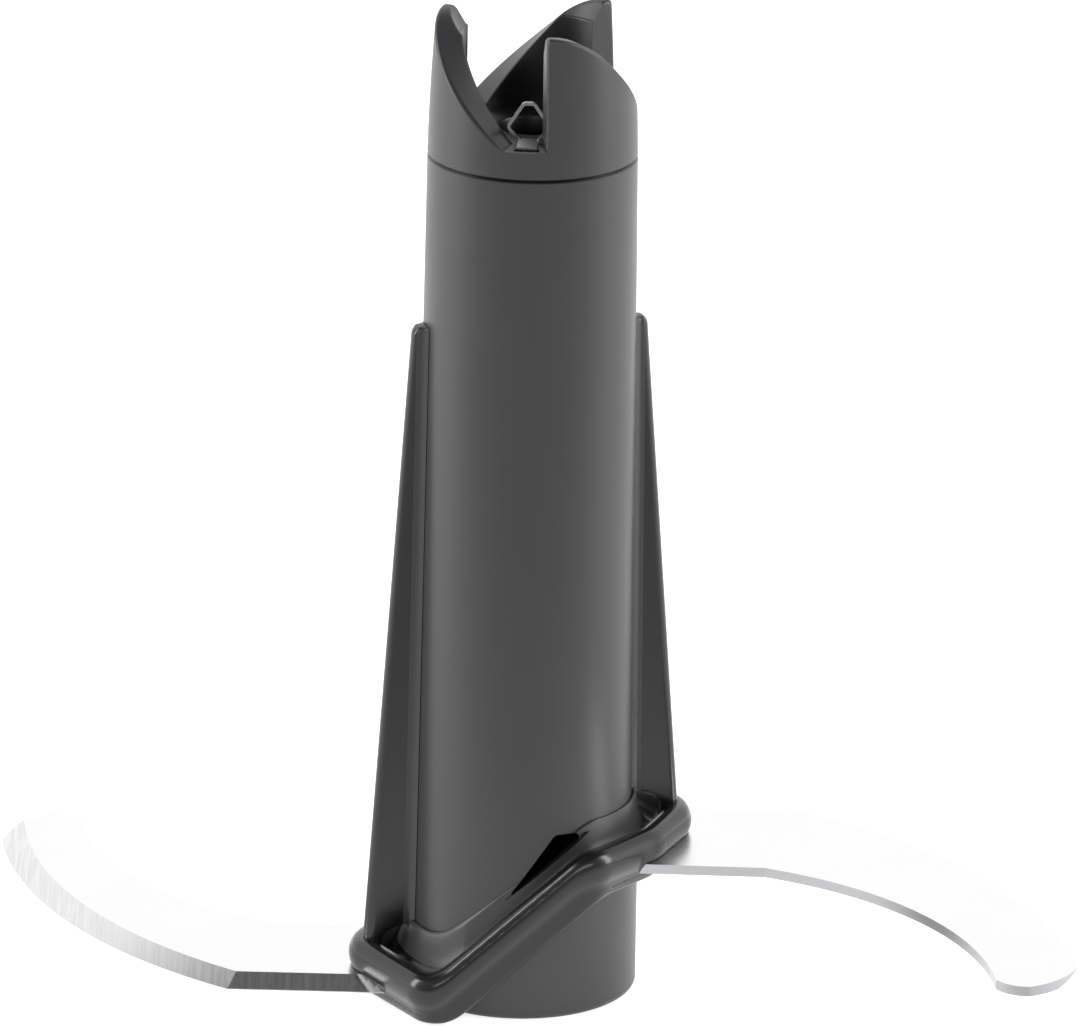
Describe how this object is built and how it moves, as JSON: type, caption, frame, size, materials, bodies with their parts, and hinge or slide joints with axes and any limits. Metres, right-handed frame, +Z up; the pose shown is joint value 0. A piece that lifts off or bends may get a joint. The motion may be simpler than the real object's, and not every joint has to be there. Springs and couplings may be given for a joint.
{
  "type": "food processor blade insert",
  "caption": "Chopping-blade insert of a small food processor: claw-crowned hub tube with a moulded carrier holding crescent steel blades at two heights.",
  "frame": {"origin": "on the turning axis, in the plane of the hub's lower rim", "axes": "+Z up the turning axis, +X towards the upper blade, -X towards the lower blade"},
  "size_m": [0.1472, 0.1048, 0.1366],
  "materials": {
    "hub_plastic": "satin fine-grained moulding",
    "crown_plastic": "satin moulding",
    "carrier_plastic": "semi-gloss black moulding",
    "blade_steel": "fine ground stainless sheet with a ground bevel",
    "spring_steel": "bright spring strip",
    "bearing_plastic": "natural acetal, machined bore",
    "pad_plastic": "filled nylon"
  },
  "bodies": {
    "blade_unit": {"hub_tube": "hub_plastic", "drive_crown": "crown_plastic", "blade_carrier": "carrier_plastic", "lower_blade": "blade_steel", "upper_blade": "blade_steel", "lower_bush": "bearing_plastic", "upper_bush": "bearing_plastic", "thrust_pad": "pad_plastic"},
    "clip": {"retaining_spring": "spring_steel"}
  },
  "joints": [
    {"name": "spring_flex", "type": "hinge", "parent": "blade_unit", "child": "clip", "pos_m": [-0.00051, -0.00829, 0.12143], "axis": [-0.9981, 0.061, 0], "range_deg": [0, 6], "stiffness_Nm_per_rad": 0.02}
  ]
}
